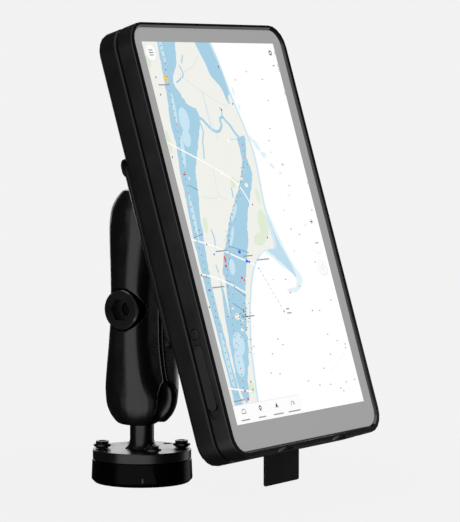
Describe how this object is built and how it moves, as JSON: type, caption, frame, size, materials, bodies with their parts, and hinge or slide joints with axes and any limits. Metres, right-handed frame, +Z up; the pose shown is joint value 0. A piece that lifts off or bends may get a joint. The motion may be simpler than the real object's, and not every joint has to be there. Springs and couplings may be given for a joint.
{
  "type": "chartplotter display",
  "caption": "Portrait touch-screen chart display in a rugged case, on a ball-and-socket arm with a clamp knob and a round bolt-down base.",
  "frame": {"origin": "centre of the round base's underside, on the surface it is bolted to", "axes": "+Z up out of the mounting surface, +X to the right along the display's width as seen from the front; the screen faces -Y and leans back"},
  "size_m": [0.1602, 0.1551, 0.2781],
  "materials": {
    "powder_coat": "black fine-texture powder coat, satin",
    "black_steel": "black satin coated steel",
    "black_rubber": "matt black moulded rubber",
    "gloss_black": "black moulded plastic, semi-gloss",
    "rear_case": "black fine-grain moulded plastic",
    "bumper": "black soft-touch moulded plastic",
    "cover_glass": "clear flat glass with printed border",
    "screen": "lit display panel",
    "sheet_metal": "plain stamped sheet",
    "circuit_board": "green solder mask",
    "battery_foil": "dark foil pouch",
    "bright_steel": "plated steel",
    "gold_contacts": "gold plated",
    "tab_rubber": "matt black flexible strip"
  },
  "bodies": {
    "base": {"base_ring": "gloss_black", "base_plate": "powder_coat", "base_ball_post": "black_steel", "base_bolt_1": "black_steel", "base_bolt_2": "black_steel", "base_bolt_3": "black_steel"},
    "lower_ball": {"lower_ball_cover": "black_rubber"},
    "arm": {"arm_shell_right": "powder_coat", "clamp_bolt": "bright_steel", "clamp_spring": "bright_steel"},
    "clamp_half": {"arm_shell_left": "powder_coat"},
    "knob": {"clamp_knob": "gloss_black", "knob_nut": "bright_steel"},
    "upper_ball": {"upper_ball_cover": "black_rubber"},
    "display": {"dock_ball_stud": "black_steel", "dock_plate": "powder_coat", "stud_screw_1": "black_steel", "stud_screw_2": "black_steel", "stud_screw_3": "black_steel", "stud_screw_4": "black_steel", "dock_screw_1": "black_steel", "dock_screw_2": "black_steel", "dock_screw_3": "black_steel", "dock_screw_4": "black_steel", "front_housing": "bumper", "rear_housing": "rear_case", "housing_gasket": "black_rubber", "case_screw_1": "black_steel", "case_screw_2": "black_steel", "case_screw_3": "black_steel", "case_screw_4": "black_steel", "cover_glass": "cover_glass", "glass_seal": "black_rubber", "lcd_panel": "screen", "backlight_unit": "sheet_metal", "mid_chassis": "sheet_metal", "main_board": "circuit_board", "processor_shield": "sheet_metal", "heat_spreader": "sheet_metal", "battery_pack": "battery_foil", "gnss_antenna": "bright_steel", "speaker": "gloss_black", "dock_connector": "gold_contacts", "usb_socket": "bright_steel", "card_socket": "bright_steel", "power_switch": "bright_steel", "top_switch": "bright_steel", "tab_pin": "bright_steel"},
    "power_button": {"power_button": "bumper"},
    "top_button": {"top_button": "bumper"},
    "side_cover": {"side_port_cover": "black_rubber"},
    "bottom_cover": {"bottom_port_cover": "black_rubber"},
    "tab": {"pull_tab": "tab_rubber"}
  },
  "joints": [
    {"name": "base_swivel", "type": "hinge", "parent": "base", "child": "lower_ball", "pos_m": [0, 0, 0.0526], "axis": [0, 0, 1], "continuous": true},
    {"name": "arm_tilt", "type": "hinge", "parent": "lower_ball", "child": "arm", "pos_m": [0, 0, 0.0526], "axis": [1, 0, 0], "range_deg": [-12, 8]},
    {"name": "clamp_open", "type": "slide", "parent": "arm", "child": "clamp_half", "axis": [-1, 0, 0], "range_m": [0, 0.003]},
    {"name": "knob_turn", "type": "hinge", "parent": "clamp_half", "child": "knob", "pos_m": [0, -0.00185, 0.1068], "axis": [-1, 0, 0], "range_deg": [0, 865]},
    {"name": "display_tilt", "type": "hinge", "parent": "arm", "child": "upper_ball", "pos_m": [0, -0.00369, 0.161], "axis": [1, 0, 0], "range_deg": [-35, 20]},
    {"name": "display_turn", "type": "hinge", "parent": "upper_ball", "child": "display", "pos_m": [0, -0.00369, 0.161], "axis": [0, 0.9558, -0.294], "continuous": true},
    {"name": "power_press", "type": "slide", "parent": "display", "child": "power_button", "axis": [1, 0, 0], "range_m": [0, 0.0009], "stiffness_N_per_m": 900},
    {"name": "top_press", "type": "slide", "parent": "display", "child": "top_button", "axis": [0, -0.294, -0.9558], "range_m": [0, 0.0009], "stiffness_N_per_m": 900},
    {"name": "side_cover_hinge", "type": "hinge", "parent": "display", "child": "side_cover", "pos_m": [-0.08, -0.09761, 0.09473], "axis": [0, 0.9558, -0.294], "range_deg": [0, 100]},
    {"name": "bottom_cover_hinge", "type": "hinge", "parent": "display", "child": "bottom_cover", "pos_m": [0, -0.11495, 0.02954], "axis": [1, 0, 0], "range_deg": [0, 90]},
    {"name": "tab_swing", "type": "hinge", "parent": "display", "child": "tab", "pos_m": [0, -0.10204, 0.0283], "axis": [1, 0, 0], "range_deg": [-20, 70]}
  ],
  "couplings": [
    {"joint": "knob_turn", "follows": "clamp_open", "rad_per_m": 5026.5}
  ]
}
